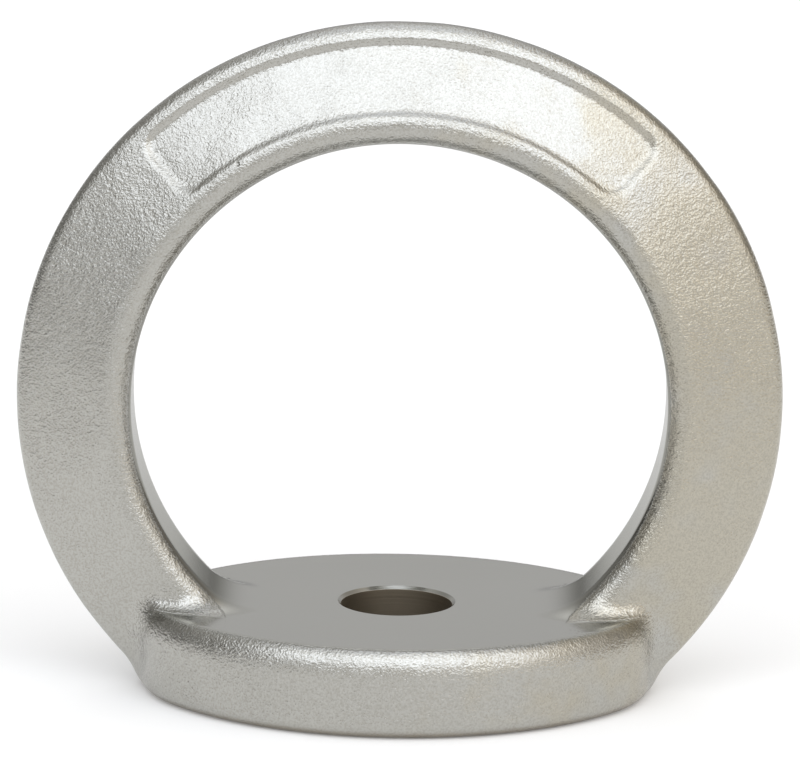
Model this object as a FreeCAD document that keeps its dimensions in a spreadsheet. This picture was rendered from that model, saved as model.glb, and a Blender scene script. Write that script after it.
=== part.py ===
import FreeCAD, Part
import math
import os
import Sketcher

Vector = FreeCAD.Vector

# A tie ring for a wall, a deck or a trailer floor: one forging, a ring that stands on an oval foot
# with one bolt hole through it.
# Millimetres, and degrees where the name says so.
# The origin is the centre of the foot's underside, +Z runs up the bolt hole, the ring's own axis
# lies along Y, and the face with the blank sunken panel looks towards -Y.

SIZES = {
    # ring, whose section is a wedge: widest by the eye, narrowest at the rim
    "ring_radius": 48.0,             # ring axis to the flat rim round the outside
    "eye_radius": 33.5,              # ring axis to the wall of the eye
    "centre_above_foot": 26.2,       # foot's top face to the ring axis
    "eye_wall_width": 10.0,          # flat of the wall inside the eye, along Y
    "eye_rounding": 2.3,             # from that wall on to each face
    "rim_wall_width": 0.4,           # flat of the rim, along Y
    "rim_rounding": 1.9,             # from the rim on to each face
    # foot
    "foot_length": 66.0,             # along X, where the sides would meet the top face
    "foot_width": 51.3,              # along Y, at the same level
    "foot_end_radius": 19.1,         # arcs round the two ends, at the same level
    "foot_height": 11.4,
    "foot_draft_degrees": 4.0,       # the sides lean in towards the underside
    "foot_top_rounding": 3.0,
    "foot_bottom_rounding": 1.2,
    "root_rounding": 2.4,            # where the ring grows out of the foot
    # bolt hole
    "hole_diameter": 14.0,
    "hole_edge_break": 0.25,
    # blank panel, sunk into the top of the front face
    "panel_eye_margin": 4.8,         # wall of the eye to the panel's floor
    "panel_rim_margin": 2.4,         # panel's floor to the rim
    "panel_span_degrees": 88.0,
    "panel_depth": 0.7,
    "panel_corner": 2.0,
    "panel_bevel": 0.6,              # slope of the panel's walls, along the face
}

doc = FreeCAD.newDocument("TieRing")
sheet = doc.addObject("Spreadsheet::Sheet", "Sizes")
for row, (alias, value) in enumerate(SIZES.items(), start=1):
    sheet.set("A%d" % row, alias)
    sheet.set("B%d" % row, str(value))
    sheet.setAlias("B%d" % row, alias)
doc.recompute()

body = doc.addObject("PartDesign::Body", "tie_ring")
body.Label = "tie_ring"
body.Placement = FreeCAD.Placement()


def origin_plane(role):
    return [item for item in body.Origin.OriginFeatures if item.Role == role][0]


def new_sketch(name, role):
    sketch = body.newObject("Sketcher::SketchObject", name)
    sketch.AttachmentSupport = [(origin_plane(role), "")]
    sketch.MapMode = "FlatFace"
    return sketch


def bind(sketch, constraint, formula):
    """Add a named dimension to a sketch and tie it to the sheet."""
    index = sketch.addConstraint(constraint[0])
    sketch.renameConstraint(index, constraint[1])
    sketch.setExpression("Constraints." + constraint[1], formula)
    return index


def close_tangent(sketch, count):
    """Join the first curves of a sketch end to start, each tangent to the next."""
    for curve in range(count):
        sketch.addConstraint(
            Sketcher.Constraint("Tangent", curve, 2, (curve + 1) % count, 1))


def edges_where(feature, wanted):
    """Names of the feature's edges for which wanted(edge) is true."""
    return ["Edge%d" % number for number, edge in enumerate(feature.Shape.Edges, start=1)
            if wanted(edge)]


def samples(edge, count=9):
    first, last = edge.ParameterRange
    step = (last - first) / (count - 1)
    return [edge.valueAt(first + step * index) for index in range(count)]


# Lengths that follow from the driving sizes
ring_height = SIZES["foot_height"] + SIZES["centre_above_foot"]
RING_HEIGHT = "(Sizes.foot_height + Sizes.centre_above_foot)"


def axis_distance(point):
    """Distance of a point from the ring axis."""
    return math.hypot(point.x, point.z - ring_height)


# Foot: an oval of four arcs, drafted on its sides and rounded round its top
side_inset = SIZES["foot_height"] * math.tan(math.radians(SIZES["foot_draft_degrees"]))
SIDE_INSET = "Sizes.foot_height * tan(Sizes.foot_draft_degrees * 1 deg)"
end_centre = SIZES["foot_length"] / 2 - SIZES["foot_end_radius"]
end_radius = SIZES["foot_end_radius"] - side_inset
half_width = SIZES["foot_width"] / 2 - side_inset
side_radius = ((end_centre ** 2 + half_width ** 2 - end_radius ** 2)
               / (2 * (half_width - end_radius)))
side_centre = side_radius - half_width
joint_angle = math.atan2(side_centre, end_centre)


def plan_arc(x, y, radius, start, end):
    return Part.ArcOfCircle(Part.Circle(Vector(x, y, 0), Vector(0, 0, 1), radius), start, end)


underside = new_sketch("UndersideOval", "XY_Plane")
underside.addGeometry([
    plan_arc(end_centre, 0, end_radius, -joint_angle, joint_angle),
    plan_arc(0, -side_centre, side_radius, joint_angle, math.pi - joint_angle),
    plan_arc(-end_centre, 0, end_radius, math.pi - joint_angle, math.pi + joint_angle),
    plan_arc(0, side_centre, side_radius, math.pi + joint_angle, 2 * math.pi - joint_angle),
], False)
close_tangent(underside, 4)
RIGHT_END, BACK_SIDE, LEFT_END, FRONT_SIDE = range(4)
underside.addConstraint(Sketcher.Constraint("Symmetric", RIGHT_END, 3, LEFT_END, 3, -1, 1))
underside.addConstraint(Sketcher.Constraint("PointOnObject", RIGHT_END, 3, -1))
underside.addConstraint(Sketcher.Constraint("Equal", RIGHT_END, LEFT_END))
underside.addConstraint(Sketcher.Constraint("Equal", BACK_SIDE, FRONT_SIDE))
bind(underside, (Sketcher.Constraint("Radius", RIGHT_END, end_radius), "end_radius"),
     "Sizes.foot_end_radius - " + SIDE_INSET)
bind(underside, (Sketcher.Constraint("DistanceX", -1, 1, RIGHT_END, 3, end_centre),
                 "end_centre"), "Sizes.foot_length / 2 - Sizes.foot_end_radius")
widest = underside.addGeometry(Part.Point(Vector(0, half_width, 0)), True)
underside.addConstraint(Sketcher.Constraint("PointOnObject", widest, 1, BACK_SIDE))
underside.addConstraint(Sketcher.Constraint("PointOnObject", widest, 1, -2))
bind(underside, (Sketcher.Constraint("DistanceY", -1, 1, widest, 1, half_width), "half_width"),
     "Sizes.foot_width / 2 - " + SIDE_INSET)
doc.recompute()
foot = body.newObject("PartDesign::Pad", "Foot")
foot.Profile = underside
foot.setExpression("Length", "Sizes.foot_height")
foot.setExpression("TaperAngle", "Sizes.foot_draft_degrees")
doc.recompute()

foot_top = body.newObject("PartDesign::Fillet", "FootTopRounding")
foot_top.Base = (foot, edges_where(
    foot, lambda edge: all(point.z > SIZES["foot_height"] - 0.01 for point in samples(edge))))
foot_top.setExpression("Radius", "Sizes.foot_top_rounding")
doc.recompute()

# Ring: its wedge section, drawn at the top and turned about the ring axis
wall_half = SIZES["eye_wall_width"] / 2
rim_half = SIZES["rim_wall_width"] / 2
eye_centre = SIZES["eye_radius"] + SIZES["eye_rounding"]
rim_centre = SIZES["ring_radius"] - SIZES["rim_rounding"]
face_lean = math.atan2(wall_half - rim_half, rim_centre - eye_centre) + math.asin(
    (SIZES["eye_rounding"] - SIZES["rim_rounding"])
    / math.hypot(wall_half - rim_half, rim_centre - eye_centre))
face_start = Vector(wall_half + SIZES["eye_rounding"] * math.cos(face_lean),
                    eye_centre + SIZES["eye_rounding"] * math.sin(face_lean), 0)
face_end = Vector(rim_half + SIZES["rim_rounding"] * math.cos(face_lean),
                  rim_centre + SIZES["rim_rounding"] * math.sin(face_lean), 0)


def axis_line():
    """The ring axis in a sketch on the YZ plane, as long as the wall of the eye is wide."""
    return Part.LineSegment(Vector(-wall_half, ring_height, 0), Vector(wall_half, ring_height, 0))


def section_point(across, radius):
    """Point of a sketch on the YZ plane, by its Y and its distance above the ring axis."""
    return Vector(across, ring_height + radius, 0)


section = new_sketch("RingSection", "YZ_Plane")
quarter = math.pi / 2
outline = [
    Part.LineSegment(section_point(-wall_half, SIZES["eye_radius"]),
                     section_point(wall_half, SIZES["eye_radius"])),
    Part.ArcOfCircle(Part.Circle(section_point(wall_half, eye_centre), Vector(0, 0, 1),
                                 SIZES["eye_rounding"]), -quarter, face_lean),
    Part.LineSegment(section_point(face_start.x, face_start.y),
                     section_point(face_end.x, face_end.y)),
    Part.ArcOfCircle(Part.Circle(section_point(rim_half, rim_centre), Vector(0, 0, 1),
                                 SIZES["rim_rounding"]), face_lean, quarter),
    Part.LineSegment(section_point(rim_half, SIZES["ring_radius"]),
                     section_point(-rim_half, SIZES["ring_radius"])),
    Part.ArcOfCircle(Part.Circle(section_point(-rim_half, rim_centre), Vector(0, 0, 1),
                                 SIZES["rim_rounding"]), quarter, math.pi - face_lean),
    Part.LineSegment(section_point(-face_end.x, face_end.y),
                     section_point(-face_start.x, face_start.y)),
    Part.ArcOfCircle(Part.Circle(section_point(-wall_half, eye_centre), Vector(0, 0, 1),
                                 SIZES["eye_rounding"]), math.pi - face_lean, 3 * quarter),
]
section.addGeometry(outline, False)
EYE_WALL, EYE_ARC, FACE, RIM_ARC, RIM_WALL, RIM_ARC_2, FACE_2, EYE_ARC_2 = range(8)
RING_AXIS = section.addGeometry(axis_line(), True)
close_tangent(section, 8)
section.addConstraint(Sketcher.Constraint("Symmetric", EYE_WALL, 1, EYE_WALL, 2, -2))
section.addConstraint(Sketcher.Constraint("Symmetric", RIM_WALL, 1, RIM_WALL, 2, -2))
section.addConstraint(Sketcher.Constraint("Symmetric", RING_AXIS, 1, RING_AXIS, 2, -2))
section.addConstraint(Sketcher.Constraint("Equal", EYE_ARC, EYE_ARC_2))
section.addConstraint(Sketcher.Constraint("Equal", RIM_ARC, RIM_ARC_2))
bind(section, (Sketcher.Constraint("DistanceY", -1, 1, RING_AXIS, 1, ring_height), "axis_height"),
     RING_HEIGHT)
bind(section, (Sketcher.Constraint("DistanceX", RING_AXIS, 1, RING_AXIS, 2,
                                   SIZES["eye_wall_width"]), "axis_mark"),
     "Sizes.eye_wall_width")
bind(section, (Sketcher.Constraint("DistanceX", EYE_WALL, 1, EYE_WALL, 2,
                                   SIZES["eye_wall_width"]), "eye_wall"), "Sizes.eye_wall_width")
bind(section, (Sketcher.Constraint("DistanceX", RIM_WALL, 2, RIM_WALL, 1,
                                   SIZES["rim_wall_width"]), "rim_wall"), "Sizes.rim_wall_width")
bind(section, (Sketcher.Constraint("DistanceY", RING_AXIS, 1, EYE_WALL, 1,
                                   SIZES["eye_radius"]), "eye_radius"), "Sizes.eye_radius")
bind(section, (Sketcher.Constraint("DistanceY", RING_AXIS, 1, RIM_WALL, 2,
                                   SIZES["ring_radius"]), "ring_radius"), "Sizes.ring_radius")
bind(section, (Sketcher.Constraint("Radius", EYE_ARC, SIZES["eye_rounding"]), "eye_rounding"),
     "Sizes.eye_rounding")
bind(section, (Sketcher.Constraint("Radius", RIM_ARC, SIZES["rim_rounding"]), "rim_rounding"),
     "Sizes.rim_rounding")
doc.recompute()
ring = body.newObject("PartDesign::Revolution", "Ring")
ring.Profile = section
ring.ReferenceAxis = (section, ["Axis0"])
ring.Angle = 360
doc.recompute()

# Nothing of the ring hangs below the underside
trim_sketch = new_sketch("UnderRingCircle", "XY_Plane")
trim_circle = trim_sketch.addGeometry(
    Part.Circle(Vector(0, 0, 0), Vector(0, 0, 1), SIZES["ring_radius"]), False)
trim_sketch.addConstraint(Sketcher.Constraint("Coincident", trim_circle, 3, -1, 1))
bind(trim_sketch, (Sketcher.Constraint("Radius", trim_circle, SIZES["ring_radius"]), "radius"),
     "Sizes.ring_radius")
doc.recompute()
trim = body.newObject("PartDesign::Pocket", "UndersideCut")
trim.Profile = trim_sketch
trim.Type = "ThroughAll"
doc.recompute()

# Root: the ring grows out of the foot along two closed loops, one for each leg
foot_shell = foot_top.Shape.Shells[0]
ring_shell = ring.AddSubShape.Shells[0]


def on_both(edge):
    return all(Part.Vertex(point).distToShape(shell)[0] < 0.01
               for point in samples(edge, 5)[1:4] for shell in (foot_shell, ring_shell))


root = body.newObject("PartDesign::Fillet", "RootRounding")
root.Base = (trim, edges_where(trim, on_both))
root.setExpression("Radius", "Sizes.root_rounding")
doc.recompute()

# Panel: a shallow flat-floored recess round the top of the front face, parallel to that face
panel_in = SIZES["eye_radius"] + SIZES["panel_eye_margin"]
panel_out = SIZES["ring_radius"] - SIZES["panel_rim_margin"]
along = Vector(math.sin(face_lean), math.cos(face_lean), 0)
outward = Vector(-math.cos(face_lean), math.sin(face_lean), 0)
face_origin = section_point(-face_start.x, face_start.y)


def on_front(radius, depth):
    """Point of the YZ sketch plane under the front face, at a distance from the ring axis."""
    base = face_origin - outward * depth
    return base + along * ((ring_height + radius - base.y) / along.y)


PANEL_CORNER_LIMIT = ("0.45 * (Sizes.ring_radius - Sizes.panel_rim_margin"
                      " - Sizes.eye_radius - Sizes.panel_eye_margin)")
floor_in = on_front(panel_in, SIZES["panel_depth"])
floor_out = on_front(panel_out, SIZES["panel_depth"])
rise = outward * (2 * SIZES["panel_depth"])
panel_sketch = new_sketch("PanelSection", "YZ_Plane")
panel_sketch.addExternal("RingSection", "Edge7")
FRONT_FACE = -3
panel_sketch.addGeometry([
    Part.LineSegment(floor_in, floor_out),
    Part.LineSegment(floor_out, floor_out + rise),
    Part.LineSegment(floor_out + rise, floor_in + rise),
    Part.LineSegment(floor_in + rise, floor_in),
], False)
for side in range(4):
    panel_sketch.addConstraint(Sketcher.Constraint("Coincident", side, 2, (side + 1) % 4, 1))
for side in (1, 3):
    panel_sketch.addConstraint(Sketcher.Constraint("Perpendicular", 0, side))
panel_sketch.addConstraint(Sketcher.Constraint("Parallel", 0, 2))
panel_sketch.addConstraint(Sketcher.Constraint("Parallel", 0, FRONT_FACE))
bind(panel_sketch, (Sketcher.Constraint("Distance", 0, 1, FRONT_FACE, SIZES["panel_depth"]),
                    "depth"), "Sizes.panel_depth")
bind(panel_sketch, (Sketcher.Constraint("Distance", 1, 2 * SIZES["panel_depth"]), "rise"),
     "2 * Sizes.panel_depth")
bind(panel_sketch, (Sketcher.Constraint("DistanceY", -1, 1, 0, 1, ring_height + panel_in),
                    "floor_in"),
     RING_HEIGHT + " + Sizes.eye_radius + Sizes.panel_eye_margin")
bind(panel_sketch, (Sketcher.Constraint("DistanceY", -1, 1, 0, 2, ring_height + panel_out),
                    "floor_out"),
     RING_HEIGHT + " + Sizes.ring_radius - Sizes.panel_rim_margin")
PANEL_AXIS = panel_sketch.addGeometry(axis_line(), True)
panel_sketch.addConstraint(Sketcher.Constraint("Symmetric", PANEL_AXIS, 1, PANEL_AXIS, 2, -2))
bind(panel_sketch, (Sketcher.Constraint("DistanceX", PANEL_AXIS, 1, PANEL_AXIS, 2,
                                        SIZES["eye_wall_width"]), "axis_mark"),
     "Sizes.eye_wall_width")
bind(panel_sketch, (Sketcher.Constraint("DistanceY", -1, 1, PANEL_AXIS, 1, ring_height),
                    "axis_height"), RING_HEIGHT)
doc.recompute()
panel = body.newObject("PartDesign::Groove", "Panel")
panel.Profile = panel_sketch
panel.ReferenceAxis = (panel_sketch, ["Axis0"])
panel.Midplane = True
panel.setExpression("Angle", "Sizes.panel_span_degrees")
doc.recompute()


def above_front(point):
    """Height of a point over the front face, measured square to it."""
    offset = Vector(point.y, ring_height + axis_distance(point), 0) - face_origin
    return offset.dot(outward)


def panel_corner(edge):
    first, last = samples(edge, 2)
    depths = sorted((above_front(first), above_front(last)))
    return (first.y < 0 and last.y < 0 and abs(depths[0] + SIZES["panel_depth"]) < 0.01
            and abs(depths[1]) < 0.01)


def panel_rim(edge):
    return all(point.y < 0 and abs(above_front(point)) < 0.01
               and face_start.y + 0.05 < axis_distance(point) < face_end.y - 0.05
               for point in samples(edge))


corners = body.newObject("PartDesign::Fillet", "PanelCorners")
corners.Base = (panel, edges_where(panel, panel_corner))
corners.setExpression("Radius", "min(Sizes.panel_corner; %s)" % PANEL_CORNER_LIMIT)
doc.recompute()
bevel = body.newObject("PartDesign::Chamfer", "PanelBevel")
bevel.Base = (corners, edges_where(corners, panel_rim))
bevel.setExpression("Size", "Sizes.panel_bevel")
doc.recompute()

foot_bottom = body.newObject("PartDesign::Fillet", "FootBottomRounding")
foot_bottom.Base = (bevel, edges_where(
    bevel, lambda edge: all(abs(point.z) < 0.01 for point in samples(edge))))
foot_bottom.setExpression("Radius", "Sizes.foot_bottom_rounding")
doc.recompute()

# Bolt hole, straight through the foot, with both its edges broken
hole_sketch = new_sketch("HoleCircle", "XY_Plane")
hole_circle = hole_sketch.addGeometry(
    Part.Circle(Vector(0, 0, 0), Vector(0, 0, 1), SIZES["hole_diameter"] / 2), False)
hole_sketch.addConstraint(Sketcher.Constraint("Coincident", hole_circle, 3, -1, 1))
bind(hole_sketch, (Sketcher.Constraint("Diameter", hole_circle, SIZES["hole_diameter"]),
                   "diameter"), "Sizes.hole_diameter")
doc.recompute()
hole = body.newObject("PartDesign::Pocket", "BoltHole")
hole.Profile = hole_sketch
hole.Reversed = True
hole.setExpression("Length", "Sizes.foot_height")
doc.recompute()


def hole_edge(edge):
    return all(abs(math.hypot(point.x, point.y) - SIZES["hole_diameter"] / 2) < 0.01
               and min(abs(point.z), abs(point.z - SIZES["foot_height"])) < 0.01
               for point in samples(edge))


hole_breaks = body.newObject("PartDesign::Chamfer", "HoleEdgeBreaks")
hole_breaks.Base = (hole, edges_where(hole, hole_edge))
hole_breaks.setExpression("Size", "Sizes.hole_edge_break")
doc.recompute()

# Every feature has to have come out, and the body as one sound solid
for item in doc.Objects:
    if any(word in item.State for word in ("Invalid", "Error")):
        raise RuntimeError("%s failed: %s" % (item.Label, item.State))
shape = body.Shape
if shape.isNull() or not shape.isValid() or len(shape.Solids) != 1:
    raise RuntimeError("%s is not one sound solid" % body.Label)
for cut, before in ((trim, ring), (panel, root), (hole, foot_bottom)):
    if cut.Shape.Volume > before.Shape.Volume - 1:
        raise RuntimeError("%s took nothing away" % cut.Label)

os.makedirs("parts", exist_ok=True)
shape.exportStep("parts/%s.step" % body.Label)
print("%s: volume %.1f mm3, %d faces" % (body.Label, shape.Volume, len(shape.Faces)))
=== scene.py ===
import math
from types import SimpleNamespace

import bpy
import numpy as np
from mathutils import Matrix, Vector


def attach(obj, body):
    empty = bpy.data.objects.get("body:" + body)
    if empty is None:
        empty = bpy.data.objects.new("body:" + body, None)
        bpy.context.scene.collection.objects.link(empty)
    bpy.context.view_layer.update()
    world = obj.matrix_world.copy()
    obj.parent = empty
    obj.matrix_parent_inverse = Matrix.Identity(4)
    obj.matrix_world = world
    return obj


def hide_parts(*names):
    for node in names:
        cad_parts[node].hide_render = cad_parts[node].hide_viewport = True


# A forged tie ring, bright plated, on a pale studio floor.
# The metal's skin is worked out here as one surface in millimetres, from the solid's sizes with
# a few of them read more finely, and then made into a mesh in metres.

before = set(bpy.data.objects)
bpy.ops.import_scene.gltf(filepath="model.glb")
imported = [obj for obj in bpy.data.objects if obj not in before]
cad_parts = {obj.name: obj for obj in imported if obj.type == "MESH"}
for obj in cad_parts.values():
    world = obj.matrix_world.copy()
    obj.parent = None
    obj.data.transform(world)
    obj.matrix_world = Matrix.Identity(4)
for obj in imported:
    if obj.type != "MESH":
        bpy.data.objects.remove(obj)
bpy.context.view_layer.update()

MM = 0.001
TINY = 1e-9

# Sizes of the forging
RING_R = 48.0
EYE_R = 33.5
EYE_WALL_HALF = 4.67
EYE_ROUND = 2.5
RIM_WALL_HALF = 0.2
RIM_ROUND = 1.9
FOOT_H = 11.4
AXIS_ABOVE_FOOT = 26.2
AXIS_Z = FOOT_H + AXIS_ABOVE_FOOT
FOOT_HALF_X = 33.0
FOOT_HALF_Y = 25.65
FOOT_END_R = 19.1
FOOT_DRAFT = math.radians(4.0)
FOOT_TOP_ROUND_IN = 2.1
FOOT_TOP_ROUND_DOWN = 3.6
FOOT_BOTTOM_ROUND = 2.0
ROOT_ROUND_TOP = 2.5
ROOT_ROUND_SIDE = 2.1
# Height below the foot's top over which the root's rounding changes from side to top
ROOT_CHANGE = 5.0
HOLE_R = 7.0
HOLE_BREAK = 0.42

# Panel sunk into the top of the front face
PANEL_IN = 37.4
PANEL_OUT = 46.35
PANEL_HALF_SPAN = math.radians(45.3)
PANEL_TURN = math.radians(0.6)
PANEL_DEPTH_IN = 0.36
PANEL_DEPTH_OUT = 0.62
PANEL_CORNER = 2.8
PANEL_RUN_IN = 0.5
PANEL_RUN_OUT = 1.05
PANEL_RUN_END = 1.15
# How straight the slopes of the long walls are; those of the end walls are a smooth step
PANEL_STRAIGHT = 0.75

# The face's lean, from the wide wall of the eye to the narrow rim
FACE_FALL = EYE_WALL_HALF - RIM_WALL_HALF
FACE_RUN = (RING_R - RIM_ROUND) - (EYE_R + EYE_ROUND)
LEAN = (math.atan2(FACE_FALL, FACE_RUN)
        + math.asin((EYE_ROUND - RIM_ROUND) / math.hypot(FACE_FALL, FACE_RUN)))
FACE_NR = math.sin(LEAN)
FACE_NY = math.cos(LEAN)
# On the face |y| + r tan(lean) keeps this value
FACE_REACH = EYE_WALL_HALF + EYE_ROUND / FACE_NY + (EYE_R + EYE_ROUND) * math.tan(LEAN)


def step_up(value, low, high):
    """Smooth step from 0 to 1 while the value runs from low to high."""
    t = np.clip((value - low) / (high - low), 0, 1)
    return t * t * (3 - 2 * t)


def corner(d1, d2, cosine, radius, radius2=None):
    """Inside of two planes with a rounded edge; cosine is that of the angle between normals.

    A second radius makes the rounding oval: radius is its size behind the first plane."""
    radius2 = radius2 or radius
    a = d1 / radius + 1
    b = d2 / radius2 + 1
    across = np.sqrt(np.maximum((a * a + b * b - 2 * a * b * cosine) / (1 - cosine ** 2), 0))
    share1 = np.maximum(a - cosine * b, 0)
    share2 = np.maximum(b - cosine * a, 0)
    size = (radius * share1 + radius2 * share2) / np.maximum(share1 + share2, TINY)
    rounded = (share1 > 0) & (share2 > 0)
    return np.where(rounded, (across - 1) * size, np.maximum(d1, d2))


def panel_sink(x, y, z, r):
    """How far the front face is sunk at a point, measured square to the face."""
    turn = np.abs(np.arctan2(x, z - AXIS_Z) + PANEL_TURN)
    past_end = r * np.sin(turn - PANEL_HALF_SPAN)
    past_side = np.maximum(PANEL_IN - r, r - PANEL_OUT) / FACE_NY
    a = past_end + PANEL_CORNER
    b = past_side + PANEL_CORNER
    edge = (np.hypot(np.maximum(a, 0), np.maximum(b, 0)) + np.minimum(np.maximum(a, b), 0)
            - PANEL_CORNER)
    run_side = np.where(r > (PANEL_IN + PANEL_OUT) / 2, PANEL_RUN_OUT, PANEL_RUN_IN)
    on_side = np.clip((b - a) / PANEL_CORNER + 0.5, 0, 1)
    run = PANEL_RUN_END + (run_side - PANEL_RUN_END) * on_side
    t = np.clip(-edge / run, 0, 1)
    wall = t + (step_up(t, 0, 1) - t) * (1 - PANEL_STRAIGHT * on_side)
    across = np.clip((r - PANEL_IN) / (PANEL_OUT - PANEL_IN), 0, 1)
    depth = PANEL_DEPTH_IN + (PANEL_DEPTH_OUT - PANEL_DEPTH_IN) * across
    return np.where((y < 0) & (z > AXIS_Z), depth * wall, 0)


def ring_field(x, y, z):
    """Signed distance to the ring, with its leaning faces, rounded edges and sunk panel."""
    r = np.hypot(x, z - AXIS_Z)
    across = np.abs(y)
    face = (r - (EYE_R + EYE_ROUND)) * FACE_NR + (across - EYE_WALL_HALF) * FACE_NY - EYE_ROUND
    face = face + panel_sink(x, y, z, r)
    d = corner(EYE_R - r, face, -FACE_NR, EYE_ROUND)
    return corner(d, r - RING_R, FACE_NR, RIM_ROUND)


def oval_distance(x, y, inset):
    """Distance outside the four-arc oval of the foot, drawn in by inset from its full size."""
    end_r = FOOT_END_R - inset
    half_y = FOOT_HALF_Y - inset
    end_x = FOOT_HALF_X - FOOT_END_R
    side_r = (end_x ** 2 + half_y ** 2 - end_r ** 2) / (2 * (half_y - end_r))
    side_y = side_r - half_y
    x = np.abs(x)
    y = np.abs(y)
    on_side = (y + side_y) * end_x > x * side_y
    return np.where(on_side, np.hypot(x, y + side_y) - side_r, np.hypot(x - end_x, y) - end_r)


def foot_field(x, y, z):
    """Signed distance to the foot, an oval with drafted sides and rounded edges."""
    lean = math.tan(FOOT_DRAFT)
    base = oval_distance(x, y, FOOT_H * lean)
    side = (base - z * lean) * math.cos(FOOT_DRAFT)
    d = corner(side, z - FOOT_H, -math.sin(FOOT_DRAFT), FOOT_TOP_ROUND_IN, FOOT_TOP_ROUND_DOWN)
    return corner(d, -z, math.sin(FOOT_DRAFT), FOOT_BOTTOM_ROUND)


def body_field(x, y, z):
    """Signed distance in millimetres to the forging without its hole: negative inside."""
    ring = ring_field(x, y, z)
    foot = foot_field(x, y, z)
    change = step_up(z, FOOT_H - ROOT_CHANGE, FOOT_H)
    root = ROOT_ROUND_SIDE + (ROOT_ROUND_TOP - ROOT_ROUND_SIDE) * change
    a = np.maximum(root - ring, 0)
    b = np.maximum(root - foot, 0)
    joined = np.maximum(root, np.minimum(ring, foot)) - np.hypot(a, b)
    return np.maximum(joined, -z)


# Grid on which the surface is found: turns about the ring's axis, radii, and levels across it
GRID_TURNS = 480
# The level that lies along the ring's face, and the last one, just outside the foot
FACE_LEVEL = 7.0
LEVEL_MAX = FOOT_HALF_Y + 0.8
# Where each step of the grid starts, and the step: finer at the faces and the panel's walls
LEVEL_STOPS = [(0.25, 0.5), (FACE_LEVEL - 1.25, 0.34), (FACE_LEVEL + 0.45, 0.48), (LEVEL_MAX, 0)]
RADIUS_STOPS = [(25.0, 0.5), (37.3, 0.35), (39.0, 0.5), (45.0, 0.32), (46.8, 0.4), (48.6, 0.5),
                (51.1, 0)]
# Inside this radius the levels spread no further
SPREAD_R = EYE_R + 1.4


def spaced(stops):
    """Grid values from (start, step) pairs up to the last start."""
    values = []
    for (start, step), (end, _) in zip(stops[:-1], stops[1:]):
        count = max(1, round((end - start) / step))
        values += [start + (end - start) * i / count for i in range(count)]
    return np.array(values + [stops[-1][0]])


HALF_LEVELS = spaced(LEVEL_STOPS)
LEVELS = np.concatenate([-HALF_LEVELS[::-1], HALF_LEVELS])
RADII = spaced(RADIUS_STOPS)
GRID = (GRID_TURNS, len(RADII), len(LEVELS))


def half_thickness(r):
    """Half thickness of the ring's faces, carried on past the rim."""
    return FACE_REACH - np.clip(r, SPREAD_R, None) * math.tan(LEAN)


def grid_point(turn, r, level):
    """A place of the grid: its levels follow the ring's faces and widen out over the foot."""
    face = half_thickness(r)
    reach = np.abs(level)
    inner = reach / FACE_LEVEL * face
    outer = face + (reach - FACE_LEVEL) * (LEVEL_MAX - face) / (LEVEL_MAX - FACE_LEVEL)
    y = np.sign(level) * np.where(reach < FACE_LEVEL, inner, outer)
    return r * np.sin(turn), y, AXIS_Z + r * np.cos(turn)


def cell_corners(values, step):
    """The values at one corner of every cell; the turns close on themselves."""
    turned = np.roll(values, -step[0], axis=0)
    return turned[:, step[1]:GRID[1] - 1 + step[1], step[2]:GRID[2] - 1 + step[2]]


def surface_points(field):
    """One point in each cell that the surface crosses, and the cells' numbers."""
    cells = (GRID[0], GRID[1] - 1, GRID[2] - 1)
    total = np.zeros(cells + (3,))
    count = np.zeros(cells)
    for axis in range(3):
        for first in (0, 1):
            for second in (0, 1):
                start = [first, second]
                start.insert(axis, 0)
                end = list(start)
                end[axis] = 1
                a = cell_corners(field, start)
                b = cell_corners(field, end)
                cross = (a < 0) != (b < 0)
                for k in range(3):
                    total[..., k] += cross * start[k]
                total[..., axis] += np.where(cross, a / np.where(cross, a - b, 1), 0)
                count += cross
    active = count > 0
    index = np.full(cells, -1, dtype=np.int64)
    index[active] = np.arange(active.sum())
    spot = np.argwhere(active) + total[active] / count[active][:, None]
    turn = spot[:, 0] * 2 * math.pi / GRID_TURNS
    r = np.interp(spot[:, 1], np.arange(GRID[1]), RADII)
    level = np.interp(spot[:, 2], np.arange(GRID[2]), LEVELS)
    return np.stack(grid_point(turn, r, level), axis=1), index


def find_surface():
    """Surface nets: a point in each cell that the surface crosses, joined across crossed edges."""
    turns = np.arange(GRID_TURNS) * 2 * math.pi / GRID_TURNS
    field = body_field(*grid_point(*np.meshgrid(turns, RADII, LEVELS, indexing="ij")))
    points, index = surface_points(field)
    inside = field < 0
    faces = []
    for axis in range(3):
        found = np.argwhere(inside != np.roll(inside, -1, axis=axis))
        for k in (1, 2):
            low = 0 if k == axis else 1
            found = found[(found[:, k] >= low) & (found[:, k] < GRID[k] - 1)]
        a, b = [k for k in range(3) if k != axis]
        quad = []
        for da, db in ((1, 1), (0, 1), (0, 0), (1, 0)):
            cell = found.copy()
            cell[:, a] -= da
            cell[:, b] -= db
            cell[:, 0] %= GRID_TURNS
            quad.append(index[tuple(cell.T)])
        quad = np.stack(quad, axis=1)
        flip = inside[tuple(found.T)] == (axis != 1)
        quad[flip] = quad[flip][:, ::-1]
        faces.append(quad)
    return points, np.concatenate(faces)


# How points are moved: the distance a slope is measured over, the least slope reckoned with,
# the longest move at once, and the share of its way to its neighbours' middle a point slides
SLOPE_STEP = 0.02
LEAST_SLOPE = 0.5
LONGEST_MOVE = 0.3
SLIDE = 0.6


def gradient(points):
    """Slope of the body's field at each point."""
    columns = []
    for axis in range(3):
        offset = np.zeros(3)
        offset[axis] = SLOPE_STEP
        columns.append((body_field(*(points + offset).T) - body_field(*(points - offset).T))
                       / (2 * SLOPE_STEP))
    return np.stack(columns, axis=1)


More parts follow.
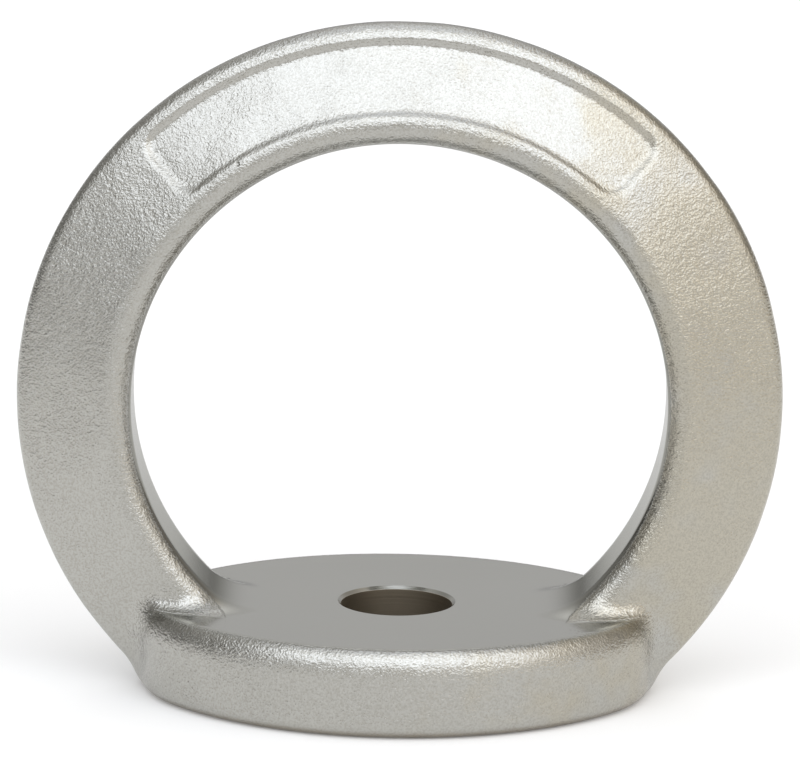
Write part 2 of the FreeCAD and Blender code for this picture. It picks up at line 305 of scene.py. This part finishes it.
def settle(points, rounds=3):
    """Bring points on to the surface along its gradient."""
    for _ in range(rounds):
        slope = gradient(points)
        size = np.maximum((slope ** 2).sum(axis=1), LEAST_SLOPE ** 2)
        move = slope * (body_field(*points.T) / size)[:, None]
        length = np.linalg.norm(move, axis=1, keepdims=True)
        points = points - move * np.minimum(1, LONGEST_MOVE / np.maximum(length, TINY))
    return points


def even_out(points, faces, rounds=3):
    """Slide points towards the middle of their neighbours and back on to the surface."""
    pairs = np.concatenate([faces[:, [i, (i + 1) % 4]] for i in range(4)])
    for _ in range(rounds):
        total = np.zeros_like(points)
        count = np.zeros(len(points))
        for one, two in ((0, 1), (1, 0)):
            np.add.at(total, pairs[:, one], points[pairs[:, two]])
            np.add.at(count, pairs[:, one], 1)
        points = settle(points * (1 - SLIDE) + SLIDE * total / count[:, None], 1)
    return settle(points, 2)


# The skin as it came from the dies: low swells, left out where it was machined afterwards
SWELL_SEED = 11
SWELL_HEIGHT = 0.017
SWELL_WAVES = 40
SWELL_LENGTHS = (4.0, 12.0)
# A wave of this length has the full height, and a longer one is higher
SWELL_FULL_LENGTH = 6.0
# Distances over which the swells come in beside each machined face
FADE_PAST_RING = (0.3, 2.0)
FADE_EYE_WALL = (0.1, 0.6)
FADE_TOP = (0.02, 0.3)
FADE_BASE = (0.1, 1.2)
# The eye's wall is machined down to this far below the foot's top
EYE_WALL_DOWN = 0.3
# Near the rim the swells are low, and they end this far inside it, to stay in the solid's box
RIM_MARGIN = 0.1
RIM_FADE = 1.5
RIM_SWELL = 0.03


def forged_share(points):
    """1 on the skin as forged, 0 on the foot's flat top, its underside and the eye's wall."""
    x, y, z = points.T
    r = np.hypot(x, z - AXIS_Z)
    past_face = np.abs(y) + r * math.tan(LEAN) - FACE_REACH
    past_wall = step_up(r - EYE_R, *FADE_EYE_WALL)
    on_top = np.maximum(step_up(past_face, *FADE_PAST_RING), 1 - past_wall)
    off_top = step_up(np.abs(z - FOOT_H), *FADE_TOP)
    off_wall = np.where(z > FOOT_H - EYE_WALL_DOWN, past_wall, 1)
    off_base = step_up(z, *FADE_BASE)
    return (1 - on_top * (1 - off_top)) * off_wall * off_base


def swell(points):
    """Low irregular waves in all directions."""
    random = np.random.default_rng(SWELL_SEED)
    total = np.zeros(len(points))
    for _ in range(SWELL_WAVES):
        way = random.normal(size=3)
        way /= np.linalg.norm(way)
        length = random.uniform(*SWELL_LENGTHS)
        phase = random.uniform(0, 2 * math.pi)
        wave = np.sin(points @ way * (2 * math.pi / length) + phase)
        total += wave * length / SWELL_FULL_LENGTH
    return total / math.sqrt(SWELL_WAVES / 2)


def roughen(points):
    """Raise and lower the points by the swells, square to the surface."""
    slope = gradient(points)
    normal = slope / np.linalg.norm(slope, axis=1, keepdims=True)
    r = np.hypot(points[:, 0], points[:, 2] - AXIS_Z)
    off_rim = np.clip((RING_R - RIM_MARGIN - r) / RIM_FADE, 0, 1)
    height = SWELL_HEIGHT * swell(points) * forged_share(points)
    height = np.where(off_rim < 1, np.minimum(height, RIM_SWELL * off_rim), height)
    return points + normal * height[:, None]


def add_object(name, data):
    thing = bpy.data.objects.new(name, data)
    bpy.context.scene.collection.objects.link(thing)
    return thing


def quad_mesh(name, points, faces):
    """A mesh in metres from points in millimetres and faces of four points each."""
    mesh = bpy.data.meshes.new(name)
    mesh.vertices.add(len(points))
    mesh.vertices.foreach_set("co", (points * MM).astype(np.float32).ravel())
    mesh.loops.add(faces.size)
    mesh.loops.foreach_set("vertex_index", faces.astype(np.int32).ravel())
    mesh.polygons.add(len(faces))
    mesh.polygons.foreach_set("loop_start", np.arange(0, faces.size, 4, dtype=np.int32))
    mesh.polygons.foreach_set("loop_total", np.full(len(faces), 4, dtype=np.int32))
    mesh.update(calc_edges=True)
    mesh.validate()
    return mesh


# The drill's sides and how far it goes past the foot, and how near to an edge counts as on it
DRILL_SIDES = 160
DRILL_PAST = 1.0
EDGE_NEAR = 0.03


def hole_cutter():
    """A drill's shape: a bore through the foot that opens out at both faces."""
    wide_r = HOLE_R + HOLE_BREAK + DRILL_PAST
    profile = [(wide_r, -DRILL_PAST), (HOLE_R, HOLE_BREAK), (HOLE_R, FOOT_H - HOLE_BREAK),
               (wide_r, FOOT_H + DRILL_PAST)]
    points = []
    for radius, z in profile:
        for i in range(DRILL_SIDES):
            angle = 2 * math.pi * i / DRILL_SIDES
            points.append((radius * math.cos(angle) * MM, radius * math.sin(angle) * MM, z * MM))
    faces = []
    last = (len(profile) - 1) * DRILL_SIDES
    for row in range(0, last, DRILL_SIDES):
        for i in range(DRILL_SIDES):
            j = (i + 1) % DRILL_SIDES
            faces.append((row + i, row + j, row + DRILL_SIDES + j, row + DRILL_SIDES + i))
    faces.append(tuple(reversed(range(DRILL_SIDES))))
    faces.append(tuple(range(last, last + DRILL_SIDES)))
    mesh = bpy.data.meshes.new("hole_cutter")
    mesh.from_pydata(points, [], faces)
    return add_object("hole_cutter", mesh)


def mark_hole_edges(mesh):
    """Keep the edges of the hole crisp and everything else smooth."""
    spots = np.empty(len(mesh.vertices) * 3, dtype=np.float32)
    mesh.vertices.foreach_get("co", spots)
    spots = spots.reshape(-1, 3) / MM
    reach = np.hypot(spots[:, 0], spots[:, 1])
    ends = np.empty(len(mesh.edges) * 2, dtype=np.int32)
    mesh.edges.foreach_get("vertices", ends)
    ends = ends.reshape(-1, 2)
    sharp = np.zeros(len(mesh.edges), dtype=bool)
    for radius, z in ((HOLE_R, HOLE_BREAK), (HOLE_R, FOOT_H - HOLE_BREAK),
                      (HOLE_R + HOLE_BREAK, 0), (HOLE_R + HOLE_BREAK, FOOT_H)):
        near = (np.abs(reach - radius) < EDGE_NEAR) & (np.abs(spots[:, 2] - z) < EDGE_NEAR)
        sharp |= near[ends[:, 0]] & near[ends[:, 1]]
    attribute = mesh.attributes.get("sharp_edge") or mesh.attributes.new(
        "sharp_edge", "BOOLEAN", "EDGE")
    attribute.data.foreach_set("value", sharp)


def make_ring():
    """The forging as one mesh: its surface with the swells, and the hole cut through."""
    points, faces = find_surface()
    points = roughen(even_out(settle(points), faces))
    thing = add_object("tie_ring_forging", quad_mesh("tie_ring_forging", points, faces))
    cutter = hole_cutter()
    cut = thing.modifiers.new("hole", "BOOLEAN")
    cut.operation = "DIFFERENCE"
    cut.object = cutter
    cut.solver = "EXACT"
    bpy.context.view_layer.update()
    result = bpy.data.meshes.new_from_object(
        thing.evaluated_get(bpy.context.evaluated_depsgraph_get()))
    thing.modifiers.clear()
    thing.data = result
    bpy.data.objects.remove(cutter, do_unlink=True)
    result.polygons.foreach_set("use_smooth", np.ones(len(result.polygons), dtype=bool))
    mark_hole_edges(result)
    return thing


ring = make_ring()
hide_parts("tie_ring")
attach(ring, "root")


# Camera, a long lens a little above the ring; its lens and the ring's centre in photo pixels
CAMERA_DISTANCE = 0.987
CAMERA_RISE = math.radians(13.38)
CAMERA_SIDE = math.radians(0.32)
CAMERA_ROLL = math.radians(0.86)
CAMERA_SENSOR = 36.0
CAMERA_CLIP = (0.05, 20.0)
FOCAL_PX = 7876.0
PHOTO = (800, 770)
RING_CENTRE_PX = (399.6, 398.3)


def make_camera():
    """Look at the ring's centre, then swing a little so that it lies where the photo has it."""
    data = bpy.data.cameras.new("camera")
    camera = add_object("camera", data)
    bpy.context.scene.camera = camera
    data.sensor_width = CAMERA_SENSOR
    data.lens = FOCAL_PX * data.sensor_width / PHOTO[0]
    data.clip_start, data.clip_end = CAMERA_CLIP
    target = Vector((0, 0, AXIS_Z * MM))
    back = Vector((math.sin(CAMERA_SIDE) * math.cos(CAMERA_RISE),
                   -math.cos(CAMERA_SIDE) * math.cos(CAMERA_RISE), math.sin(CAMERA_RISE)))
    right = Vector((0, 0, 1)).cross(back).normalized()
    up = back.cross(right)
    look = Matrix((right, up, back)).transposed()
    aim = Vector(((RING_CENTRE_PX[0] - PHOTO[0] / 2) / FOCAL_PX,
                  -(RING_CENTRE_PX[1] - PHOTO[1] / 2) / FOCAL_PX, -1)).normalized()
    swing = Vector((0, 0, -1)).rotation_difference(aim).to_matrix()
    turn = look @ Matrix.Rotation(CAMERA_ROLL, 3, "Z") @ swing.transposed()
    camera.matrix_world = Matrix.Translation(target + back * CAMERA_DISTANCE) @ turn.to_4x4()


make_camera()

scene = bpy.context.scene
scene.view_settings.view_transform = "Standard"


class Graph:
    """Short names for the nodes that the materials and the studio are made of."""

    def __init__(self, tree):
        self.nodes = tree.nodes
        self.links = tree.links

    def put(self, socket, value):
        if isinstance(value, bpy.types.NodeSocket):
            self.links.new(value, socket)
        else:
            socket.default_value = value

    def math(self, operation, a, b=0.0, c=0.0):
        node = self.nodes.new("ShaderNodeMath")
        node.operation = operation
        for socket, value in zip(node.inputs, (a, b, c)):
            self.put(socket, value)
        return node.outputs[0]

    def product(self, *factors):
        result = factors[0]
        for factor in factors[1:]:
            result = self.math("MULTIPLY", result, factor)
        return result

    def square(self, value):
        return self.math("POWER", value, 2.0)

    def hypot(self, a, b):
        return self.math("SQRT", self.math("ADD", self.square(a), self.square(b)))

    def blend(self, share, a, b):
        """a where share is 0 and b where it is 1, for numbers."""
        return self.math("MULTIPLY_ADD", share, self.math("SUBTRACT", b, a), a)

    def band(self, value, low, high, start=0.0, end=1.0):
        """Smooth step from start to end while the value runs from low to high."""
        node = self.nodes.new("ShaderNodeMapRange")
        node.interpolation_type = "SMOOTHSTEP"
        for socket, item in zip(node.inputs, (value, low, high, start, end)):
            self.put(socket, item)
        return node.outputs["Result"]

    def fall(self, value, low, high):
        """Smooth step from 1 to 0 while the value runs from low to high."""
        return self.band(value, low, high, 1.0, 0.0)

    def mix(self, share, a, b):
        """a where share is 0 and b where it is 1, for colours."""
        node = self.nodes.new("ShaderNodeMix")
        node.data_type = "RGBA"
        self.put(node.inputs[0], share)
        self.put(node.inputs[6], a)
        self.put(node.inputs[7], b)
        return node.outputs[2]

    def split(self, vector):
        node = self.nodes.new("ShaderNodeSeparateXYZ")
        self.links.new(vector, node.inputs[0])
        return node.outputs

    def join(self, x, y, z):
        node = self.nodes.new("ShaderNodeCombineXYZ")
        for socket, value in zip(node.inputs, (x, y, z)):
            self.put(socket, value)
        return node.outputs[0]

    def scaled(self, vector, factor):
        node = self.nodes.new("ShaderNodeVectorMath")
        node.operation = "SCALE"
        self.links.new(vector, node.inputs[0])
        node.inputs["Scale"].default_value = factor
        return node.outputs[0]

    def centred(self, noise):
        """A noise with its middle moved to 0."""
        return self.math("SUBTRACT", noise, 0.5)

    def noise(self, vector, scale, detail=2.0, rough=0.5):
        node = self.nodes.new("ShaderNodeTexNoise")
        self.links.new(vector, node.inputs["Vector"])
        node.inputs["Scale"].default_value = scale
        node.inputs["Detail"].default_value = detail
        node.inputs["Roughness"].default_value = rough
        return node.outputs["Fac"]

    def cells(self, vector, scale):
        """Distance to the middle of the nearest random cell, and that cell's own number."""
        node = self.nodes.new("ShaderNodeTexVoronoi")
        self.links.new(vector, node.inputs["Vector"])
        node.inputs["Scale"].default_value = scale
        return node.outputs["Distance"], self.split(node.outputs["Color"])[0]

    def bump(self, height, distance, normal=None):
        node = self.nodes.new("ShaderNodeBump")
        node.inputs["Strength"].default_value = 1.0
        node.inputs["Distance"].default_value = distance
        self.links.new(height, node.inputs["Height"])
        if normal is not None:
            self.links.new(normal, node.inputs["Normal"])
        return node.outputs["Normal"]


def new_material(name):
    material = bpy.data.materials.new(name)
    material.use_nodes = True
    material.node_tree.nodes.clear()
    return material


# Colours of the plating
SILVER = (0.452, 0.446, 0.417, 1)
WARM = (0.459, 0.432, 0.364, 1)
# Painted shade for the grain's low spots
LOW_SPOT_PAINTED_SHADE = (0.32, 0.305, 0.265, 1)
TURNED = (0.450, 0.446, 0.413, 1)
# Painted shade on the eye's wall: darker than its cut metal
WALL_PAINTED_SHADE = (0.29, 0.285, 0.26, 1)
# Painted shade in the bore: dark brown for the inside of the hole
BORE_PAINTED_SHADE = (0.24, 0.205, 0.155, 1)
# Painted shade along the foot's lower edge
EDGE_PAINTED_SHADE = (0.25, 0.215, 0.165, 1)
# Tint of what is seen at a glancing angle: on the eye's wall it is darkened along its length, as
# painted shade
GLANCE = (1.0, 1.0, 1.0, 1)
GLANCE_WALL_PAINTED_SHADE = (0.68, 0.68, 0.66, 1)

# Noises in the metal: scale in one over millimetres, detail and, where it isn't plain, roughness
FINE_NOISE = (3.8, 2.0, 0.55)
COARSE_NOISE = (1.5, 1.0)
PATCH_NOISE = (0.16, 2.0)
WIDE_NOISE = (0.045, 1.0)
LINES_NOISE = (1.0, 2.0)
RINGS_NOISE = (1.0, 3.0, 0.6)
PIT_SCALE = 0.11

# Cut faces: how ragged their ends are, and where each mask starts and ends, in millimetres
CUT_RAGGED = 0.35
TOP_OFF_LEVEL = (0.05, 0.2)
TOP_PAST_RING = (0.3, 1.5)
TOP_IN_EYE = (EYE_R - 0.4, EYE_R + 0.3)
WALL_DEPTH = (0.22, 0.42)
WALL_BOTTOM = (FOOT_H - 0.1, FOOT_H)
# The eye's wall takes painted shade from this height up
WALL_PAINTED_SHADE_FROM = (FOOT_H + 0.1, FOOT_H + 2.0)
BORE_EDGE = (HOLE_R + 0.02, HOLE_R + 0.1)
BORE_TOP = (FOOT_H - HOLE_BREAK + 0.02, FOOT_H - HOLE_BREAK + 0.06)
BREAK_EDGE = (HOLE_R + HOLE_BREAK + 0.01, HOLE_R + HOLE_BREAK + 0.04)
BREAK_TOP = (FOOT_H + 0.1, FOOT_H + 0.2)
# The flat top ends within the foot's oval, at this part of the way out, squared
TOP_OVAL = (0.87, 0.93)

# Floor of the panel, where its mask starts and ends by radius, by y and by height
PANEL_FROM = (PANEL_IN - 0.5, PANEL_IN + 1.5)
PANEL_TO = (PANEL_OUT - 1.5, PANEL_OUT + 0.3)
PANEL_FRONT = (0.0, -1.0)
PANEL_HEIGHT = (AXIS_Z + 24.0, AXIS_Z + 36.0)

# Warmer tint where a patch's noise is high, and more so to the right by each millimetre as a
# painted warm reflection on the right side
WARM_REFLECTION_BY_X = 0.012
WARM_FROM = (0.62, 0.98)
# Low spots of the fine noise take some painted shade, less of it on the panel
LOW_SPOTS = (0.62, 0.34)
LOW_SPOTS_SHARE = 0.5
LOW_SPOTS_PANEL = 0.25
# Painted shade along the lower edge: darker and browner below these heights, by this share
EDGE_SHADE_HEIGHT = (0.3, 1.3)
EDGE_SHADE_SHARE = 0.85

# Heights of the blasted grain, as noise times GRAIN_HEIGHT in metres
GRAIN_HEIGHT = 0.00010
COARSE_SHARE = 0.8
# Grain over the range of a patch's noise, and its share on the panel
GRAIN_BY_PATCH = (0.35, 0.65, 0.8, 1.15)
GRAIN_PANEL = 0.80
# A pit lies in the middle of the cells whose number is above this
PIT_CHOSEN = (0.70, 0.72)
PIT_EDGE = (0.02, 0.05)
PIT_DEPTH = 1.2

# Tool marks: lines along x on the foot's top and rings in the bore, times MARKS_HEIGHT in metres
MARKS_HEIGHT = 0.00002
LINES_BY_X = 0.04
LINES_BY_Y = 3.0
LINES_SHARE = 0.25
RINGS_BY_Z = 2.6
RINGS_SHARE = 2.0

# Roughness: of the skin over a range of the fine noise, of the cut faces, and of the bore
ROUGH_SKIN = (0.35, 0.6, 0.22, 0.13)
ROUGH_CUT = 0.18
ROUGH_BORE = 0.5
ROUGH_WIDE = 0.08


def steel_masks(g, x, y, z, fine):
    """1 on each kind of face and 0 elsewhere: the cut faces, the skin, the panel's floor."""
    ring_r = g.hypot(x, g.math("SUBTRACT", z, AXIS_Z))
    hole_r = g.hypot(x, y)
    ragged = g.math("MULTIPLY", g.centred(fine), CUT_RAGGED)
    # the foot's flat top
    off_level = g.math("ADD", g.math("ABSOLUTE", g.math("SUBTRACT", z, FOOT_H)), ragged)
    past_face = g.math("ADD", g.math("ABSOLUTE", y),
                       g.math("MULTIPLY_ADD", ring_r, math.tan(LEAN), -FACE_REACH))
    off_ring = g.math("MAXIMUM", g.band(past_face, *TOP_PAST_RING), g.fall(ring_r, *TOP_IN_EYE))
    oval = g.math("MULTIPLY_ADD", g.square(x), FOOT_HALF_X ** -2,
                  g.math("MULTIPLY", g.square(y), FOOT_HALF_Y ** -2))
    flat_top = g.product(g.fall(off_level, *TOP_OFF_LEVEL), off_ring, g.fall(oval, *TOP_OVAL))
    # the eye's wall, and the part of it clear of the foot, which takes painted shade
    wall_depth = g.math("ADD", g.math("SUBTRACT", ring_r, EYE_R), ragged)
    wall = g.product(g.fall(wall_depth, *WALL_DEPTH), g.band(z, *WALL_BOTTOM))
    wall_painted_shade = g.product(wall, g.band(z, *WALL_PAINTED_SHADE_FROM))
    # the hole and its broken edge
    bore = g.product(g.fall(hole_r, *BORE_EDGE), g.fall(z, *BORE_TOP))
    edge_break = g.product(g.fall(hole_r, *BREAK_EDGE), g.fall(z, *BREAK_TOP))
    cut = g.math("MAXIMUM", g.math("MAXIMUM", flat_top, wall), edge_break)
    skin = g.math("SUBTRACT", 1.0, cut)
    panel = g.product(g.band(ring_r, *PANEL_FROM), g.band(y, *PANEL_FRONT),
                      g.fall(ring_r, *PANEL_TO), g.band(z, *PANEL_HEIGHT))
    return SimpleNamespace(flat_top=flat_top, wall_painted_shade=wall_painted_shade, bore=bore, cut=cut, skin=skin,
                           panel=panel)


def steel_colour(g, x, z, fine, patch, on):
    """Silver plate, warmer in patches and, as a painted warm reflection, to the right; with darker
    cut faces, and painted shade in the grain's low spots, on the eye's wall, in the bore and along
    the lower edge.
    """
    # warm patches, and a painted warm reflection growing to the right
    tint = g.band(g.math("MULTIPLY_ADD", x, WARM_REFLECTION_BY_X, patch), *WARM_FROM)
    colour = g.mix(tint, SILVER, WARM)
    # painted shade in the grain's low spots
    low_spots = g.product(g.band(fine, *LOW_SPOTS), on.skin,
                          g.blend(on.panel, LOW_SPOTS_SHARE, LOW_SPOTS_PANEL))
    colour = g.mix(low_spots, colour, LOW_SPOT_PAINTED_SHADE)
    colour = g.mix(on.cut, colour, TURNED)
    # painted shade on the eye's wall
    colour = g.mix(on.wall_painted_shade, colour, WALL_PAINTED_SHADE)
    # painted shade in the bore
    colour = g.mix(on.bore, colour, BORE_PAINTED_SHADE)
    # painted shade along the lower edge
    return g.mix(g.product(g.fall(z, *EDGE_SHADE_HEIGHT), EDGE_SHADE_SHARE), colour, EDGE_PAINTED_SHADE)


def grain(g, at, fine, patch, on):
    """Height of the blasted skin, with a few pits and smoother on the panel's floor."""
    coarse = g.noise(at, *COARSE_NOISE)
    strength = g.product(g.band(patch, *GRAIN_BY_PATCH), g.blend(on.panel, 1.0, GRAIN_PANEL))
    both = g.math("ADD", fine, g.math("MULTIPLY", coarse, COARSE_SHARE))
    from_pit, number = g.cells(at, PIT_SCALE)
    pits = g.product(g.fall(from_pit, *PIT_EDGE), g.band(number, *PIT_CHOSEN), on.skin)
    return g.math("SUBTRACT", g.product(both, on.skin, strength),
                  g.math("MULTIPLY", pits, PIT_DEPTH))


def tool_marks(g, x, y, z, on):
    """Height of the marks that the cutters left on the foot's top and in the bore."""
    along = g.join(g.math("MULTIPLY", x, LINES_BY_X), g.math("MULTIPLY", y, LINES_BY_Y), 0.0)
    lines = g.noise(along, *LINES_NOISE)
    rings = g.noise(g.join(0.0, 0.0, g.math("MULTIPLY", z, RINGS_BY_Z)), *RINGS_NOISE)
    return g.math("ADD", g.product(lines, on.flat_top, LINES_SHARE),
                  g.product(rings, on.bore, RINGS_SHARE))


def steel_roughness(g, at, fine, on):
    """Rougher in the grain's low spots and in the bore, with slow changes over the whole."""
    wide = g.noise(at, *WIDE_NOISE)
    rough = g.blend(on.cut, g.band(fine, *ROUGH_SKIN), ROUGH_CUT)
    rough = g.blend(on.bore, rough, ROUGH_BORE)
    return g.math("ADD", rough, g.math("MULTIPLY", g.centred(wide), ROUGH_WIDE))


def plated_steel():
    """Bright plate over a blasted forging; the foot's top, the eye's wall and the bore are cut."""
    material = new_material("plated_steel")
    g = Graph(material.node_tree)
    at = g.scaled(g.nodes.new("ShaderNodeTexCoord").outputs["Object"], 1 / MM)
    x, y, z = g.split(at)
    fine = g.noise(at, *FINE_NOISE)
    patch = g.noise(at, *PATCH_NOISE)
    on = steel_masks(g, x, y, z, fine)
    normal = g.bump(grain(g, at, fine, patch, on), GRAIN_HEIGHT)
    normal = g.bump(tool_marks(g, x, y, z, on), MARKS_HEIGHT, normal)
    shader = g.nodes.new("ShaderNodeBsdfPrincipled")
    shader.inputs["Metallic"].default_value = 1.0
    g.put(shader.inputs["Base Color"], steel_colour(g, x, z, fine, patch, on))
    g.put(shader.inputs["Roughness"], steel_roughness(g, at, fine, on))
    # painted shade: glancing reflections on the eye's wall are darkened
    g.put(shader.inputs["Specular Tint"], g.mix(on.wall_painted_shade, GLANCE, GLANCE_WALL_PAINTED_SHADE))
    g.put(shader.inputs["Normal"], normal)
    out = g.nodes.new("ShaderNodeOutputMaterial")
    g.put(out.inputs["Surface"], shader.outputs["BSDF"])
    return material


ring.data.materials.clear()
ring.data.materials.append(plated_steel())


# Floor, pale and matte, with a painted pool of light: a little greyer far away; FLOOR_LIFT is a
# glow that matte things don't see
FLOOR_SIZE = 4.0
FLOOR_NEAR = (0.83, 0.82, 0.805, 1)
FLOOR_FAR = (0.70, 0.695, 0.68, 1)
FLOOR_LIGHT_POOL_FADE = (0.50, 1.10)
FLOOR_ROUGH = 0.9
FLOOR_SPECULAR = 0.1
FLOOR_LIFT = 0.16


def make_floor():
    mesh = bpy.data.meshes.new("floor")
    size = FLOOR_SIZE
    mesh.from_pydata([(-size, -size, 0), (size, -size, 0), (size, size, 0), (-size, size, 0)],
                     [], [(0, 1, 2, 3)])
    floor = add_object("floor", mesh)
    material = new_material("floor")
    g = Graph(material.node_tree)
    x, y, _ = g.split(g.nodes.new("ShaderNodeTexCoord").outputs["Object"])
    # painted pool of light: the floor's colour and glow fade from near to far
    near = g.fall(g.hypot(x, y), *FLOOR_LIGHT_POOL_FADE)
    shader = g.nodes.new("ShaderNodeBsdfPrincipled")
    g.put(shader.inputs["Base Color"], g.mix(near, FLOOR_FAR, FLOOR_NEAR))
    g.put(shader.inputs["Roughness"], FLOOR_ROUGH)
    g.put(shader.inputs["Specular IOR Level"], FLOOR_SPECULAR)
    path = g.nodes.new("ShaderNodeLightPath").outputs
    seen = g.math("ADD", g.math("ADD", path["Is Camera Ray"], path["Is Glossy Ray"]),
                  path["Is Transmission Ray"])
    lift = g.nodes.new("ShaderNodeEmission")
    g.put(lift.inputs["Strength"], g.product(seen, near, FLOOR_LIFT))
    both = g.nodes.new("ShaderNodeAddShader")
    g.put(both.inputs[0], shader.outputs["BSDF"])
    g.put(both.inputs[1], lift.outputs["Emission"])
    out = g.nodes.new("ShaderNodeOutputMaterial")
    g.put(out.inputs["Surface"], both.outputs["Shader"])
    floor.data.materials.append(material)


make_floor()


# Studio light, by height above the horizon and turn to the right from the front, in degrees.
# Walls near the horizon: where each level runs to the next, and the levels
RIGHT_TURN = (60.0, 110.0)
RIGHT_LEVEL = (0.95, 0.36)
LEFT_TURN = (35.0, 78.0)
LEFT_LEVEL = (0.50, 0.09)
LEFT_RISE = (6.0, 13.0)
LEFT_RISE_LEVEL = (0.0, 0.36)
LEFT_TO_RIGHT = (-10.0, 45.0)
BACK_TURN = (125.0, 165.0)
BACK_RISE = (2.0, 16.0)
BACK_LEVEL = (0.40, 0.64)
# Ceiling, dimmer towards its two sides, by how far the direction points sideways
CEILING_RISE = (24.0, 78.0)
CEILING_SIDE = (0.05, 0.75)
CEILING_LEVEL = (1.42, 0.70)
# Wide box, by its four soft edges
BOX_BOTTOM = (6.5, 26.5)
BOX_TOP = (45.0, 70.0)
BOX_LEFT = (-70.0, -50.0)
BOX_RIGHT = (20.0, 105.0)
BOX_LEVEL = 1.66
# Colours of the light: cool overhead and in the box, warmer on the walls to the right
LIGHT_COOL = (0.96, 1.0, 1.07, 1)
LIGHT_LEFT = (1.0, 0.99, 0.96, 1)
LIGHT_RIGHT = (1.05, 0.98, 0.88, 1)
LIGHT_BACK = (1.0, 1.0, 1.0, 1)
COOL_RISE = (48.0, 75.0)
COOL_BOX = (0.2, 0.9)
WARM_TURN = (-30.0, 50.0)


def make_world():
    """A studio of soft light: one wide box in front and above, dim walls, a pale cool ceiling."""
    world = bpy.data.worlds.new("studio")
    bpy.context.scene.world = world
    world.use_nodes = True
    g = Graph(world.node_tree)
    x, y, z = g.split(g.nodes.new("ShaderNodeTexCoord").outputs["Generated"])
    height = g.math("DEGREES", g.math("ARCSINE", z))
    turn = g.math("DEGREES", g.math("ARCTAN2", x, g.math("MULTIPLY", y, -1.0)))
    side = g.math("ABSOLUTE", turn)
    right = g.band(side, *RIGHT_TURN, *RIGHT_LEVEL)
    left = g.math("MAXIMUM", g.band(side, *LEFT_TURN, *LEFT_LEVEL),
                  g.band(height, *LEFT_RISE, *LEFT_RISE_LEVEL))
    wall = g.blend(g.band(turn, *LEFT_TO_RIGHT), left, right)
    behind = g.band(side, *BACK_TURN)
    wall = g.blend(behind, wall, g.band(height, *BACK_RISE, *BACK_LEVEL))
    ceiling = g.band(g.math("ABSOLUTE", x), *CEILING_SIDE, *CEILING_LEVEL)
    level = g.blend(g.band(height, *CEILING_RISE), wall, ceiling)
    box = g.product(g.band(height, *BOX_BOTTOM), g.fall(height, *BOX_TOP),
                    g.band(turn, *BOX_LEFT), g.fall(turn, *BOX_RIGHT))
    level = g.math("MULTIPLY_ADD", box, BOX_LEVEL, level)
    cool = g.math("MAXIMUM", g.band(height, *COOL_RISE), g.band(box, *COOL_BOX))
    warm = g.mix(g.band(turn, *WARM_TURN), LIGHT_LEFT, LIGHT_RIGHT)
    warm = g.mix(behind, warm, LIGHT_BACK)
    background = g.nodes["Background"]
    g.put(background.inputs["Color"], g.mix(cool, warm, LIGHT_COOL))
    g.put(background.inputs["Strength"], level)


make_world()
